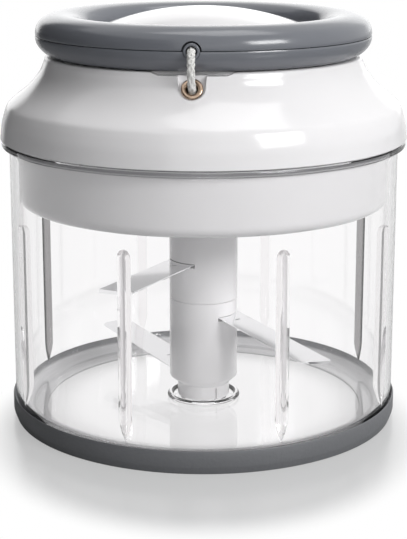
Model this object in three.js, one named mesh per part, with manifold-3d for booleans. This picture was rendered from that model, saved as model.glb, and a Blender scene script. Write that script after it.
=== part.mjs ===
// Pull-cord food chopper: a ring handle on a cord spins three stacked blades in a clear bowl.
// Millimetres, +Z up. The origin is the middle of the base ring's underside, the front is -Y.
import * as THREE from 'three';
import { mergeVertices } from 'three/addons/utils/BufferGeometryUtils.js';
import Module from 'manifold-3d';

const wasm = await Module();
wasm.setup();

// Fits shared by all pieces
const GAP = 0.3;
const RUN_GAP = 0.5;
const CUT_OVERRUN = 1;
const MERGE_DISTANCE = 1e-4;

// Steps around the turned pieces
const LARGE_STEPS = 44;
const INNER_STEPS = 32;
const MEDIUM_STEPS = 24;
const SMALL_STEPS = 16;
const SCREW_STEPS = 12;

// Bowl
const BOWL_RADIUS = 64.5;
const BOWL_WALL = 2.4;
const BOWL_TOP = 94.8;
const BOWL_CORNER = 6.5;
const RIM_PROUD = 2.5;
const RIM_HEIGHT = 1.9;
const FLOOR_UNDERSIDE = 1.3;
const FLOOR_WALL = 3;
const FLOOR_FILLET = 5;
const BOSS_CLEARANCE = 1.4;
const BOSS_WIDTH = 2.2;
const BOSS_HEIGHT = 1;
const PIN_PAD_WALL = 4.2;
const PIN_PAD_DROP = 0.9;
const PIN_HOLE_FLOOR = 1;
const RIB_COUNT = 8;
const RIB_WIDTH = 4.6;
const RIB_HEIGHT = 2.3;
const RIB_LIFT = 3.7;
const RIB_TOP_GAP = 3.8;
const RIB_TOP_TAPER = 2.6;
const RIB_BOTTOM_TAPER = 7;

// Base ring
const BASE_PROUD = 0.9;
const BASE_HEIGHT = 7.7;
const BASE_LEDGE_WIDTH = 11.4;
const BASE_BEVEL_HEIGHT = 2.5;
const BASE_BEVEL_WIDTH = 1;

// Lid shell
const LID_WALL = 2.2;
const SKIRT_PROUD = 0.5;
const SHOULDER_HEIGHT = 26.8;
const SHOULDER_WIDTH = 15.2;
const NECK_FILLET = 0.8;
const DOME_GAP = 2.6;
const DOME_SPHERE_RADIUS = 93;
const DOME_WALL_HEIGHT = 8.1;
const DOME_EDGE_FILLET = 3;
const DOME_RINGS = 5;
const DOME_INNER_RINGS = 3;
const LID_TURN_DEG = -3.7;
const NOTCH_TOP_WIDTH = 26;
const NOTCH_FLOOR_WIDTH = 21;
const NOTCH_DEPTH = 0.9;
const NOTCH_REACH = 5;

// Eyelet and its pocket in the neck
const EYELET_DROP = 4.4;
const EYELET_PROUD = 0.8;
const EYELET_TILT_DEG = 30;
const EYELET_BORE = 1.75;
const EYELET_WALL = 0.6;
const EYELET_LIP = 1;
const EYELET_FLANGE = 0.9;
const EYELET_LENGTH = 7.5;
const EYELET_BOSS_WALL = 0.8;
const POCKET_CLEARANCE = 0.75;
const POCKET_REACH = 8;

// Mechanism housing, the part of the lid that plugs the bowl
const PLUG_CLEARANCE = 0.6;
const PLUG_DEPTH = 21.5;
const PLUG_WALL = 2.2;
const PLUG_CORNER = 4;
const PLUG_FLANGE_HEIGHT = 2;
const PLUG_RIM_HEIGHT = 3.4;
const HUB_COLLAR_WALL = 2.2;
const HUB_COLLAR_HEIGHT = 5.8;
const POST_RADIUS = 4;
const POST_COUNT = 4;
const POST_TURN_DEG = 45;
const SCREW_PAD_HEIGHT = 3;

// Screws
const SCREW_SHANK = 1.5;
const SCREW_HEAD_RADIUS = 2.9;
const SCREW_HEAD_HEIGHT = 1.6;
const HOUSING_SCREW_LENGTH = 14;
const HANDLE_SCREW_LENGTH = 7;
const SOCKET_RADIUS = 1.3;
const SOCKET_DEPTH = 0.9;

// Axle, bush and drum
const AXLE_RADIUS = 3;
const AXLE_GRIP = 12;
const AXLE_BOSS_WALL = 2.7;
const BUSH_WALL = 2.2;
const JOURNAL_WALL = 3;
const HUB_SHOULDER_LIP = 0.7;
const CUP_LIFT = 10.8;
const CUP_PLATE = 1.6;
const CUP_RADIUS = 27;
const CUP_WALL = 1.6;
const CUP_DEPTH = 9;
const DRUM_PLATE = 1.5;
const DRUM_CORE = 15.6;
const DRUM_FLANGE_REACH = 8.4;
const WIND_ROOM = 14.4;

// Recoil spring
const SPRING_STRIP = 0.5;
const SPRING_BORE_GAP = 1.6;
const SPRING_CUP_GAP = 2.9;
const SPRING_TURNS = 6;
const SPRING_STEPS = 12;

// Cord
const CORD_DIAMETER = 2.6;
const CORD_SIDES = 8;
const WIND_TURNS = 3.5;
const WIND_STEPS = 24;
const WIND_SIDES = 6;
const WIND_LIFT = 0.3;
const LEAD_STEPS = 14;
const PULL_STEPS = 16;
const KNOT_RADIUS = 2.7;
const KNOT_SIDES = 12;
const KNOT_RINGS = 8;

// Handle
const HANDLE_OVERHANG = 2.9;
const HANDLE_WIDTH = 15.8;
const LOWER_SHELL_HEIGHT = 6.5;
const UPPER_SHELL_HEIGHT = 6.9;
const HANDLE_WALL = 2.2;
const SEAM_GAP = 0.3;
const HANDLE_SCREW_COUNT = 4;
const HANDLE_BOSS_RADIUS = 3.6;
const HANDLE_BOSS_FLOOR = 2.2;
const GROMMET_WALL = 0.75;
const GROMMET_LIP = 0.7;
const GROMMET_SET_BACK = 2.1;
const GROMMET_FLANGE = 1;
const GROMMET_PROUD = 0.4;

// Blade unit
const SHAFT_RADIUS = 11.6;
const COLLAR_STEP = 2.7;
const COLLAR_HEIGHT = 5;
const SHAFT_CHAMFER = 2.5;
const SPIGOT_WALL = 4;
const SPIGOT_DEPTH = 1.9;
const HEX_RADIUS = 6;
const PIN_RADIUS = 2.5;
const PIN_TOP = 22;
const LOWER_BLADE_HEIGHT = 14.2;
const MIDDLE_BLADE_RISE = 19.6;
const SEAM_RISE = 5.6;
const UPPER_BLADE_RISE = 13;
const BLADE_THICK = 1.2;
const BLADE_WIDTH = 11.3;
const BLADE_ROOT = 5.2;
const BLADE_RIB_CLEARANCE = 7.8;
const BLADE_TIP_FILLET = 2.6;
const BLADE_SLOT_LENGTH = 2;
const BLADE_SLOT_WIDTH = 0.6;
const BLADE_SLOT_OUT = 3.1;

// Radii that follow from the bowl, from the inside out
const bowlInner = BOWL_RADIUS - BOWL_WALL;
const rimRadius = BOWL_RADIUS + RIM_PROUD;
const baseRadius = BOWL_RADIUS + BASE_PROUD;
const skirtRadius = rimRadius + SKIRT_PROUD;
const neckRadius = skirtRadius - SHOULDER_WIDTH;
const handleOuter = neckRadius + HANDLE_OVERHANG;
const handleInner = handleOuter - HANDLE_WIDTH;
const domeRadius = handleInner - DOME_GAP;

// Heights that follow from the bowl, from the bottom up
const floorTop = FLOOR_UNDERSIDE + FLOOR_WALL;
const plugBottom = BOWL_TOP - PLUG_DEPTH;
const skirtBottom = BOWL_TOP + GAP;
const seatHeight = skirtBottom + SHOULDER_HEIGHT;
const handleBottom = seatHeight + GAP;
const handleSeam = handleBottom + LOWER_SHELL_HEIGHT;
const handleTop = handleSeam + UPPER_SHELL_HEIGHT;
const domeDrop = DOME_SPHERE_RADIUS - Math.sqrt(DOME_SPHERE_RADIUS ** 2 - domeRadius ** 2);
const domeEdge = seatHeight + DOME_WALL_HEIGHT;
const domeTop = domeEdge + domeDrop;

const FULL_TURN = 2 * Math.PI;
const radians = THREE.MathUtils.degToRad;

// Finishes
const plastic = (color, roughness) => new THREE.MeshStandardMaterial({ color, roughness, metalness: 0 });
const metal = (color, roughness) => new THREE.MeshStandardMaterial({ color, roughness, metalness: 1 });
const clearPlastic = new THREE.MeshStandardMaterial({
  color: 0xf4f7f8, roughness: 0.05, metalness: 0, transparent: true, opacity: 0.25,
});
const whitePlastic = plastic(0xeeeeee, 0.25);
const greyPlastic = plastic(0x6b6f76, 0.35);
const greyRubber = plastic(0x606367, 0.6);
const darkPlastic = plastic(0x2f3338, 0.5);
const bladeSteel = metal(0xd6d8da, 0.12);
const plainSteel = metal(0xa9adb1, 0.3);
const springSteel = metal(0x7d8287, 0.35);
const brass = metal(0x9a7b5c, 0.3);
const bronze = metal(0x9c7a45, 0.4);
const cordFibre = plastic(0xe6e4df, 0.9);

// Solids
function solidFrom(geometry) {
  const bare = geometry.clone();
  bare.deleteAttribute('normal');
  bare.deleteAttribute('uv');
  const merged = mergeVertices(bare, MERGE_DISTANCE);
  return new wasm.Manifold(new wasm.Mesh({
    numProp: 3,
    vertProperties: new Float32Array(merged.attributes.position.array),
    triVerts: new Uint32Array(merged.index.array),
  }));
}

function piece(name, solid, material) {
  const mesh = solid.getMesh();
  const geometry = new THREE.BufferGeometry();
  geometry.setAttribute('position', new THREE.BufferAttribute(new Float32Array(mesh.vertProperties), 3));
  geometry.setIndex(new THREE.BufferAttribute(new Uint32Array(mesh.triVerts), 1));
  geometry.computeVertexNormals();
  const part = new THREE.Mesh(geometry, material);
  part.name = name;
  return part;
}

// A profile of [radius, height] points runs upwards on its outside, and turns about the Z axis.
function turned(profile, steps = LARGE_STEPS) {
  const points = profile.map(([radius, height]) => new THREE.Vector2(radius, height));
  if (points[0].x > 0) points.push(points[0].clone());
  return solidFrom(new THREE.LatheGeometry(points, steps).rotateX(Math.PI / 2));
}

function cylinder(radius, bottom, top, steps = SMALL_STEPS) {
  return turned([[0, bottom], [radius, bottom], [radius, top], [0, top]], steps);
}

function tube(outer, inner, bottom, top, steps = MEDIUM_STEPS) {
  return turned([[inner, bottom], [outer, bottom], [outer, top], [inner, top]], steps);
}

function arc(centreRadius, centreHeight, radius, fromDeg, toDeg, steps = 4) {
  return Array.from({ length: steps + 1 }, (_, i) => {
    const angle = radians(fromDeg + ((toDeg - fromDeg) * i) / steps);
    return [centreRadius + radius * Math.cos(angle), centreHeight + radius * Math.sin(angle)];
  });
}

// The same profile line moved to its left by a wall's thickness, with every second point left out
function inset(profile, wall) {
  const last = profile.length - 1;
  const moved = profile.map(([radius, height], i) => {
    const [r0, h0] = profile[Math.max(i - 1, 0)];
    const [r1, h1] = profile[Math.min(i + 1, last)];
    const length = Math.hypot(r1 - r0, h1 - h0);
    return [radius - (wall * (h1 - h0)) / length, height + (wall * (r1 - r0)) / length];
  });
  return moved.filter((_, i) => i % 2 === 0 || i === last);
}

function shapeOf(outline, holes = []) {
  const shape = new THREE.Shape(outline.map(([x, y]) => new THREE.Vector2(x, y)));
  for (const hole of holes) shape.holes.push(new THREE.Path(hole.map(([x, y]) => new THREE.Vector2(x, y))));
  return shape;
}

function extruded(outline, bottom, top, holes = []) {
  const options = { depth: top - bottom, bevelEnabled: false };
  const geometry = new THREE.ExtrudeGeometry(shapeOf(outline, holes), options);
  return solidFrom(geometry.translate(0, 0, bottom));
}

function polygon(radius, corners) {
  return Array.from({ length: corners }, (_, i) => {
    const angle = (FULL_TURN * i) / corners;
    return [radius * Math.cos(angle), radius * Math.sin(angle)];
  });
}

const hexagon = (radius) => polygon(radius, 6);

// A round cord along a curve
function cordAlong(curve, steps) {
  const section = shapeOf(polygon(CORD_DIAMETER / 2, CORD_SIDES));
  return solidFrom(new THREE.ExtrudeGeometry(section, { steps, extrudePath: curve, bevelEnabled: false }));
}

function around(count, startDeg, make) {
  return Array.from({ length: count }, (_, i) => {
    const angle = radians(startDeg) + (FULL_TURN * i) / count;
    return make(angle, i);
  });
}

function screw(headBottom, length) {
  const headTop = headBottom + SCREW_HEAD_HEIGHT;
  const body = turned([
    [0, headBottom], [SCREW_HEAD_RADIUS, headBottom], [SCREW_HEAD_RADIUS, headTop],
    [SCREW_SHANK, headTop], [SCREW_SHANK, headTop + length - SCREW_SHANK], [0, headTop + length],
  ], SCREW_STEPS);
  const socket = extruded(hexagon(SOCKET_RADIUS), headBottom - CUT_OVERRUN, headBottom + SOCKET_DEPTH);
  return body.subtract(socket);
}

// Clear bowl: a straight cup with a rim, inner ribs and a ring on its floor around the pivot pin
const ribTop = plugBottom - RIB_TOP_GAP;
const ribBottom = floorTop + RIB_LIFT;
const collarRadius = SHAFT_RADIUS - COLLAR_STEP;
const bossInner = collarRadius + BOSS_CLEARANCE;
const bossOuter = bossInner + BOSS_WIDTH;
const pinHoleRadius = PIN_RADIUS + GAP;
const padBottom = FLOOR_UNDERSIDE - PIN_PAD_DROP;
const pinHoleBottom = padBottom + PIN_HOLE_FLOOR;

function bowlRib(angle) {
  const base = bowlInner + BOWL_WALL / 2;
  const ridge = bowlInner - RIB_HEIGHT;
  const halfWidth = RIB_WIDTH / 2;
  const outline = [
    [base, ribBottom], [ridge, ribBottom + RIB_BOTTOM_TAPER],
    [ridge, ribTop - RIB_TOP_TAPER], [base, ribTop],
  ];
  const plate = extruded(outline, -halfWidth, halfWidth).rotate([90, 0, 0]);
  const wedge = extruded(
    [[base, -halfWidth], [base, halfWidth], [bowlInner, halfWidth], [ridge, 0], [bowlInner, -halfWidth]],
    ribBottom - CUT_OVERRUN, ribTop + CUT_OVERRUN,
  );
  return plate.intersect(wedge).rotate([0, 0, THREE.MathUtils.radToDeg(angle)]);
}

function bowl() {
  const rimBottom = BOWL_TOP - RIM_HEIGHT;
  const rimStep = RIM_PROUD / 2;
  const padRadius = pinHoleRadius + PIN_PAD_WALL;
  const bossEdge = BOSS_WIDTH / 4;
  const bossTop = floorTop + BOSS_HEIGHT;
  let body = turned([
    [0, padBottom], [padRadius, padBottom], [padRadius + PIN_PAD_DROP, FLOOR_UNDERSIDE],
    ...arc(BOWL_RADIUS - BOWL_CORNER, FLOOR_UNDERSIDE + BOWL_CORNER, BOWL_CORNER, -90, 0),
    [BOWL_RADIUS, rimBottom - rimStep], [BOWL_RADIUS + rimStep / 2, rimBottom], [rimRadius, rimBottom],
    [rimRadius, BOWL_TOP - GAP], [rimRadius - GAP, BOWL_TOP], [bowlInner, BOWL_TOP],
    ...arc(bowlInner - FLOOR_FILLET, floorTop + FLOOR_FILLET, FLOOR_FILLET, 0, -90),
    [bossOuter, floorTop], [bossOuter - bossEdge, bossTop], [bossInner + bossEdge, bossTop],
    [bossInner, floorTop], [pinHoleRadius, floorTop], [pinHoleRadius, pinHoleBottom], [0, pinHoleBottom],
  ]);
  for (const rib of around(RIB_COUNT, 180 / RIB_COUNT, bowlRib)) body = body.add(rib);
  return piece('bowl', body, clearPlastic);
}

// Grey base ring: wraps the bowl's rounded foot and stands on the worktop
function baseRing() {
  const ledgeRadius = baseRadius - BASE_LEDGE_WIDTH;
  const corner = arc(BOWL_RADIUS - BOWL_CORNER, FLOOR_UNDERSIDE + BOWL_CORNER, BOWL_CORNER + GAP, -8, -90);
  const [lipRadius, lipHeight] = corner[0];
  const lipTop = Math.max(BASE_HEIGHT, lipHeight);
  return piece('base_ring', turned([
    [ledgeRadius, 0], [baseRadius - BASE_BEVEL_WIDTH, 0], [baseRadius, BASE_BEVEL_HEIGHT],
    [baseRadius, lipTop - GAP], [(baseRadius + lipRadius) / 2, lipTop], ...corner,
    [ledgeRadius, FLOOR_UNDERSIDE - GAP],
  ]), greyRubber);
}

// Steel pivot pin: stands in the floor's middle and carries the blade unit
function pivotPin() {
  const tip = PIN_RADIUS / 2;
  return piece('pivot_pin', turned([
    [0, pinHoleBottom + GAP], [PIN_RADIUS, pinHoleBottom + GAP], [PIN_RADIUS, PIN_TOP - tip],
    [PIN_RADIUS - tip / 2, PIN_TOP - tip / 4], [0, PIN_TOP],
  ], SMALL_STEPS), plainSteel);
}

// Blade unit: a two-part white shaft with three steel blades and a hexagonal drive on top
const bladeReach = bowlInner - RIB_HEIGHT - BLADE_RIB_CLEARANCE;
const middleBladeHeight = LOWER_BLADE_HEIGHT + MIDDLE_BLADE_RISE;
const shaftSeam = middleBladeHeight + SEAM_RISE;
const shaftTop = plugBottom - RUN_GAP;
const cupFloor = plugBottom + CUP_LIFT;
const hexTop = cupFloor - 2 * RUN_GAP;

// A blade's two long sides lie beside the axis by shares of its width, and reach out by shares of
// the common reach. The cutting side ends in a rounded corner, the back in a sharp one.
const BLADES = [
  {
    name: 'blade_upper', height: shaftSeam + UPPER_BLADE_RISE, turnDeg: -118.5, slopeDeg: 0,
    edgeShare: 0.23, backShare: -0.765, edgeReachShare: 0.99, backReachShare: 1,
  },
  {
    name: 'blade_middle', height: middleBladeHeight, turnDeg: -49.1, slopeDeg: -9,
    edgeShare: -0.26, backShare: 0.645, edgeReachShare: 0.98, backReachShare: 1.03,
  },
  {
    name: 'blade_lower', height: LOWER_BLADE_HEIGHT, turnDeg: 125.5, slopeDeg: 5.5,
    edgeShare: 0.87, backShare: -0.13, edgeReachShare: 1, backReachShare: 1,
  },
];

function bladeOutline(blade, clearance) {
  const side = Math.sign(blade.edgeShare - blade.backShare);
  const edge = blade.edgeShare * BLADE_WIDTH + side * clearance;
  const back = blade.backShare * BLADE_WIDTH - side * clearance;
  const root = BLADE_ROOT - clearance;
  const tip = BLADE_TIP_FILLET;
  return [
    [root, back], [blade.backReachShare * bladeReach, back],
    ...arc(blade.edgeReachShare * bladeReach - tip, edge - side * tip, tip, 0, side * 90, 3), [root, edge],
  ];
}

// A short slot across the blade, just outside the shaft
function bladeSlot(blade) {
  const middle = (BLADE_WIDTH * (blade.edgeShare + blade.backShare)) / 2;
  const start = SHAFT_RADIUS + BLADE_SLOT_OUT;
  const end = start + BLADE_SLOT_WIDTH;
  const half = BLADE_SLOT_LENGTH / 2;
  return [[start, middle - half], [end, middle - half], [end, middle + half], [start, middle + half]];
}

// Each blade slopes about the point where it leaves the shaft.
function bladeSolid(blade, clearance = 0) {
  const half = BLADE_THICK / 2 + clearance;
  const holes = clearance > 0 ? [] : [bladeSlot(blade)];
  return extruded(bladeOutline(blade, clearance), -half, half, holes)
    .translate([-SHAFT_RADIUS, 0, 0]).rotate([0, -blade.slopeDeg, 0])
    .translate([SHAFT_RADIUS, 0, 0]).rotate([0, 0, blade.turnDeg]).translate([0, 0, blade.height]);
}

function bladeUnit() {
  const group = new THREE.Group();
  const lowerTop = shaftSeam - GAP / 2;
  const upperBottom = shaftSeam + GAP / 2;
  const spigotRadius = SHAFT_RADIUS - SPIGOT_WALL;
  const spigotFloor = lowerTop - SPIGOT_DEPTH - GAP;
  const shaftBottom = floorTop + GAP;
  const collarTop = floorTop + COLLAR_HEIGHT;
  const boreTop = PIN_TOP + GAP;
  let lower = turned([
    [pinHoleRadius, shaftBottom], [collarRadius, shaftBottom], [collarRadius, collarTop],
    [SHAFT_RADIUS, collarTop + SHAFT_CHAMFER], [SHAFT_RADIUS, lowerTop], [spigotRadius + GAP, lowerTop],
    [spigotRadius + GAP, spigotFloor], [0, spigotFloor], [0, boreTop], [pinHoleRadius, boreTop],
  ], MEDIUM_STEPS);
  let upper = turned([
    [0, spigotFloor + GAP], [spigotRadius, spigotFloor + GAP], [spigotRadius, upperBottom],
    [SHAFT_RADIUS, upperBottom], [SHAFT_RADIUS, shaftTop], [0, shaftTop],
  ], MEDIUM_STEPS).add(extruded(hexagon(HEX_RADIUS), shaftTop - CUT_OVERRUN, hexTop));
  for (const blade of BLADES) {
    const slot = bladeSolid(blade, GAP);
    if (blade.height < shaftSeam) lower = lower.subtract(slot);
    else upper = upper.subtract(slot);
    group.add(piece(blade.name, bladeSolid(blade), bladeSteel));
  }
  group.add(piece('blade_shaft_lower', lower, whitePlastic));
  group.add(piece('blade_shaft_upper', upper, whitePlastic));
  return group;
}

// Frame of the eyelet: its axis leans up out of the neck, towards the front
const eyeletFront = neckRadius + EYELET_PROUD;
const eyeletHeight = seatHeight - EYELET_DROP;
const eyeletTube = EYELET_BORE + EYELET_WALL;
const eyeletRadius = eyeletTube + EYELET_LIP;
const pocketRadius = eyeletRadius + POCKET_CLEARANCE;
const eyeletTurn = [90 - EYELET_TILT_DEG, 0, 0];
const alongEyelet = (solid) => solid.rotate(eyeletTurn).translate([0, -eyeletFront, eyeletHeight]);
const eyeletPoint = (inwards) => new THREE.Vector3(
  0,
  -eyeletFront + inwards * Math.cos(radians(EYELET_TILT_DEG)),
  eyeletHeight - inwards * Math.sin(radians(EYELET_TILT_DEG)),
);

// Lid shell: skirt, flared neck, flat seat for the handle and a dome in the middle, in one moulding.
// The shoulder's points are shares of the step in to the neck and of the rise to the seat.
const SHOULDER_SHARES = [
  [0, 0], [0.035, 0.17], [0.09, 0.3], [0.14, 0.38], [0.205, 0.435], [0.43, 0.54],
  [0.63, 0.635], [0.81, 0.75], [0.925, 0.86], [0.985, 0.94],
];

function lidShoulder() {
  return SHOULDER_SHARES.map(([flareShare, riseShare]) => (
    [skirtRadius - flareShare * SHOULDER_WIDTH, skirtBottom + riseShare * SHOULDER_HEIGHT]));
}

function domeCrown(fromRadius, sphereRadius, rings) {
  const sphereCentre = domeTop - DOME_SPHERE_RADIUS;
  return Array.from({ length: rings + 1 }, (_, i) => {
    const radius = fromRadius * (1 - i / rings);
    return [radius, sphereCentre + Math.sqrt(sphereRadius ** 2 - radius ** 2)];
  });
}

function lidOutside() {
  return [
    ...lidShoulder(),
    ...arc(neckRadius - NECK_FILLET, seatHeight - NECK_FILLET, NECK_FILLET, 0, 90, 3),
    [domeRadius + NECK_FILLET, seatHeight], [domeRadius, seatHeight + NECK_FILLET],
    [domeRadius, domeEdge - DOME_EDGE_FILLET / 2],
    ...domeCrown(domeRadius - DOME_EDGE_FILLET / 2, DOME_SPHERE_RADIUS, DOME_RINGS),
  ];
}

function lidInside() {
  const underSeat = seatHeight - LID_WALL;
  const innerRadius = domeRadius - LID_WALL;
  const shoulder = inset(lidShoulder(), LID_WALL).filter(([, height]) => height < underSeat - LID_WALL);
  shoulder[0][1] = skirtBottom;
  return [
    ...shoulder, [neckRadius - LID_WALL, underSeat], [innerRadius, underSeat],
    ...domeCrown(innerRadius, DOME_SPHERE_RADIUS - LID_WALL, DOME_INNER_RINGS),
  ];
}

const padTop = plugBottom + PLUG_WALL + SCREW_PAD_HEIGHT;
const plugTop = skirtBottom + PLUG_RIM_HEIGHT;
const postCircle = neckRadius - LID_WALL - POST_RADIUS;
const postPlace = (angle) => [postCircle * Math.cos(angle), postCircle * Math.sin(angle), 0];

function screwPost(angle) {
  const post = tube(POST_RADIUS, SCREW_SHANK + GAP, padTop + GAP, seatHeight - LID_WALL / 2, SMALL_STEPS);
  return post.translate(postPlace(angle));
}

function eyeletPocket() {
  const floor = -EYELET_FLANGE - GAP;
  const throat = extruded(
    [[-pocketRadius, 0], [pocketRadius, 0], [pocketRadius, POCKET_REACH], [-pocketRadius, POCKET_REACH]],
    floor, POCKET_REACH,
  );
  const tubeHole = cylinder(eyeletTube + GAP, -EYELET_LENGTH - CUT_OVERRUN, POCKET_REACH);
  return alongEyelet(cylinder(pocketRadius, floor, POCKET_REACH).add(throat).add(tubeHole));
}

function handleNotch() {
  const halfTop = NOTCH_TOP_WIDTH / 2;
  const halfFloor = NOTCH_FLOOR_WIDTH / 2;
  const outline = [
    [-halfFloor, -NOTCH_DEPTH], [halfFloor, -NOTCH_DEPTH], [halfTop, 0],
    [halfTop, CUT_OVERRUN], [-halfTop, CUT_OVERRUN], [-halfTop, 0],
  ];
  return extruded(outline, neckRadius - NOTCH_REACH, neckRadius + CUT_OVERRUN)
    .rotate([90, 0, 0]).translate([0, 0, seatHeight]);
}

function lidShell() {
  const outside = lidOutside();
  const aboveHousing = turned([[0, plugTop], ...outside.filter(([, height]) => height > plugTop)]);
  const eyeletBossRadius = pocketRadius + EYELET_BOSS_WALL;
  const eyeletBoss = alongEyelet(cylinder(eyeletBossRadius, GAP - EYELET_LENGTH, 0, MEDIUM_STEPS));
  const axleBossRadius = AXLE_RADIUS + GAP + AXLE_BOSS_WALL;
  let body = turned([...outside, ...lidInside().reverse()])
    .add(tube(axleBossRadius, AXLE_RADIUS + GAP, axleBossBottom, domeTop - LID_WALL / 2, MEDIUM_STEPS));
  for (const post of around(POST_COUNT, POST_TURN_DEG, screwPost)) body = body.add(post);
  body = body.add(eyeletBoss.intersect(aboveHousing)).subtract(eyeletPocket()).subtract(handleNotch());
  return piece('lid_shell', body, whitePlastic);
}

// Mechanism housing: the white cup that plugs the bowl and carries the drum
const journalRadius = HEX_RADIUS + RUN_GAP + JOURNAL_WALL;
const bushInner = journalRadius + GAP;
const hubHoleRadius = bushInner + BUSH_WALL + GAP;
const collarTop = plugBottom + HUB_COLLAR_HEIGHT;
const screwHeadBottom = plugBottom + GAP;

function mechanismHousing() {
  const floor = plugBottom + PLUG_WALL;
  const outer = bowlInner - PLUG_CLEARANCE;
  const inner = outer - PLUG_WALL;
  const flangeRadius = skirtRadius - LID_WALL - RUN_GAP;
  const flangeTop = skirtBottom + PLUG_FLANGE_HEIGHT;
  const innerCorner = PLUG_CORNER - PLUG_WALL / 2;
  let body = turned([
    [hubHoleRadius, plugBottom],
    ...arc(outer - PLUG_CORNER, plugBottom + PLUG_CORNER, PLUG_CORNER, -90, 0, 3),
    [outer, skirtBottom], [flangeRadius, skirtBottom], [flangeRadius, flangeTop],
    [outer, flangeTop], [outer, plugTop], [inner, plugTop],
    ...arc(inner - innerCorner, floor + innerCorner, innerCorner, 0, -90, 2),
    [hubHoleRadius + HUB_COLLAR_WALL, floor], [hubHoleRadius + HUB_COLLAR_WALL, collarTop],
    [hubHoleRadius, collarTop],
  ]);
  for (const place of around(POST_COUNT, POST_TURN_DEG, postPlace)) {
    const headRoomTop = screwHeadBottom + SCREW_HEAD_HEIGHT + GAP;
    const pad = cylinder(POST_RADIUS, floor - PLUG_WALL / 2, padTop);
    const headRoom = cylinder(SCREW_HEAD_RADIUS + GAP, plugBottom - CUT_OVERRUN, headRoomTop);
    const shankRoom = cylinder(SCREW_SHANK + GAP, plugBottom, padTop + CUT_OVERRUN);
    body = body.add(pad.translate(place)).subtract(headRoom.add(shankRoom).translate(place));
  }
  return piece('mechanism_housing', body, whitePlastic);
}

function housingScrews() {
  return around(POST_COUNT, POST_TURN_DEG, (angle, i) => {
    const body = screw(screwHeadBottom, HOUSING_SCREW_LENGTH).translate(postPlace(angle));
    return piece(`housing_screw_${i + 1}`, body, plainSteel);
  });
}

// Brass eyelet that guides the cord through the neck
function cordEyelet() {
  const lip = EYELET_FLANGE / 2;
  return piece('cord_eyelet', alongEyelet(turned([
    [EYELET_BORE, -EYELET_LENGTH], [eyeletTube, -EYELET_LENGTH], [eyeletTube, -EYELET_FLANGE],
    [eyeletRadius, -EYELET_FLANGE], [eyeletRadius, -lip], [eyeletRadius - lip, 0],
    [eyeletTube, 0], [EYELET_BORE, -lip],
  ], MEDIUM_STEPS)), brass);
}

// Bronze bush: lines the housing's middle hole for the drum's journal
function drumBush() {
  return piece('drum_bush', tube(bushInner + BUSH_WALL, bushInner, plugBottom + GAP, collarTop), bronze);
}

// Drive hub: hexagonal socket below, cup for the recoil spring above
const cupTop = cupFloor + CUP_PLATE + CUP_DEPTH;

function driveHub() {
  const shoulderBottom = collarTop + GAP;
  const shoulderRadius = hubHoleRadius + HUB_SHOULDER_LIP;
  const journalBottom = plugBottom + GAP;
  const body = turned([
    [0, journalBottom], [journalRadius, journalBottom], [journalRadius, shoulderBottom],
    [shoulderRadius, shoulderBottom], [shoulderRadius, cupFloor], [CUP_RADIUS, cupFloor],
    [CUP_RADIUS, cupTop], [CUP_RADIUS - CUP_WALL, cupTop], [CUP_RADIUS - CUP_WALL, cupFloor + CUP_PLATE],
    [0, cupFloor + CUP_PLATE],
  ], INNER_STEPS);
  const socket = extruded(hexagon(HEX_RADIUS + RUN_GAP), journalBottom - CUT_OVERRUN, hexTop + RUN_GAP);
  return piece('drive_hub', body.subtract(socket), darkPlastic);
}

// Cord drum: its lower flange closes the spring cup, and the cord winds on its core
const drumFloor = cupTop + GAP;
const windBottom = drumFloor + DRUM_PLATE;
const windTop = windBottom + WIND_ROOM;
const drumTop = windTop + DRUM_PLATE;
const drumFlange = DRUM_CORE + DRUM_FLANGE_REACH;

function cordDrum() {
  return piece('cord_drum', turned([
    [AXLE_RADIUS + GAP, drumFloor], [CUP_RADIUS, drumFloor], [CUP_RADIUS, windBottom],
    [DRUM_CORE, windBottom], [DRUM_CORE, windTop], [drumFlange, windTop], [drumFlange, drumTop],
    [AXLE_RADIUS + GAP, drumTop],
  ], INNER_STEPS), darkPlastic);
}

// Steel axle: held in the dome's boss, runs down through the drum
const axleBossBottom = drumTop + RUN_GAP;

function drumAxle() {
  const bottom = cupFloor + CUP_PLATE + RUN_GAP;
  return piece('drum_axle', cylinder(AXLE_RADIUS, bottom, axleBossBottom + AXLE_GRIP), plainSteel);
}

// Recoil spring: a flat steel strip coiled about the axle
function recoilSpring() {
  const inner = AXLE_RADIUS + SPRING_BORE_GAP;
  const outer = CUP_RADIUS - CUP_WALL - SPRING_CUP_GAP;
  const count = SPRING_TURNS * SPRING_STEPS;
  const spiral = (shift) => Array.from({ length: count + 1 }, (_, i) => {
    const radius = inner + ((outer - inner) * i) / count + shift;
    const angle = (FULL_TURN * i) / SPRING_STEPS;
    return [radius * Math.cos(angle), radius * Math.sin(angle)];
  });
  const outline = [...spiral(0), ...spiral(SPRING_STRIP).reverse()];
  return piece('recoil_spring', extruded(outline, cupFloor + CUP_PLATE + GAP, cupTop - GAP), springSteel);
}

// Cord on the drum: it leaves the drum straight towards the eyelet
const windRadius = DRUM_CORE + WIND_LIFT + CORD_DIAMETER / 2;
const windHigh = windTop - WIND_LIFT - CORD_DIAMETER / 2;
const windLow = windBottom + WIND_LIFT + CORD_DIAMETER / 2;
const leadTarget = eyeletPoint(EYELET_LENGTH + 2 * CORD_DIAMETER);
const leaveAngle = -Math.PI / 2 - Math.acos(windRadius / -leadTarget.y);
const leaveOut = new THREE.Vector3(Math.cos(leaveAngle), Math.sin(leaveAngle), 0);
const leaveAhead = new THREE.Vector3(-Math.sin(leaveAngle), Math.cos(leaveAngle), 0);
const leavePlace = leaveOut.clone().multiplyScalar(windRadius).setZ(windHigh);

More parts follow.
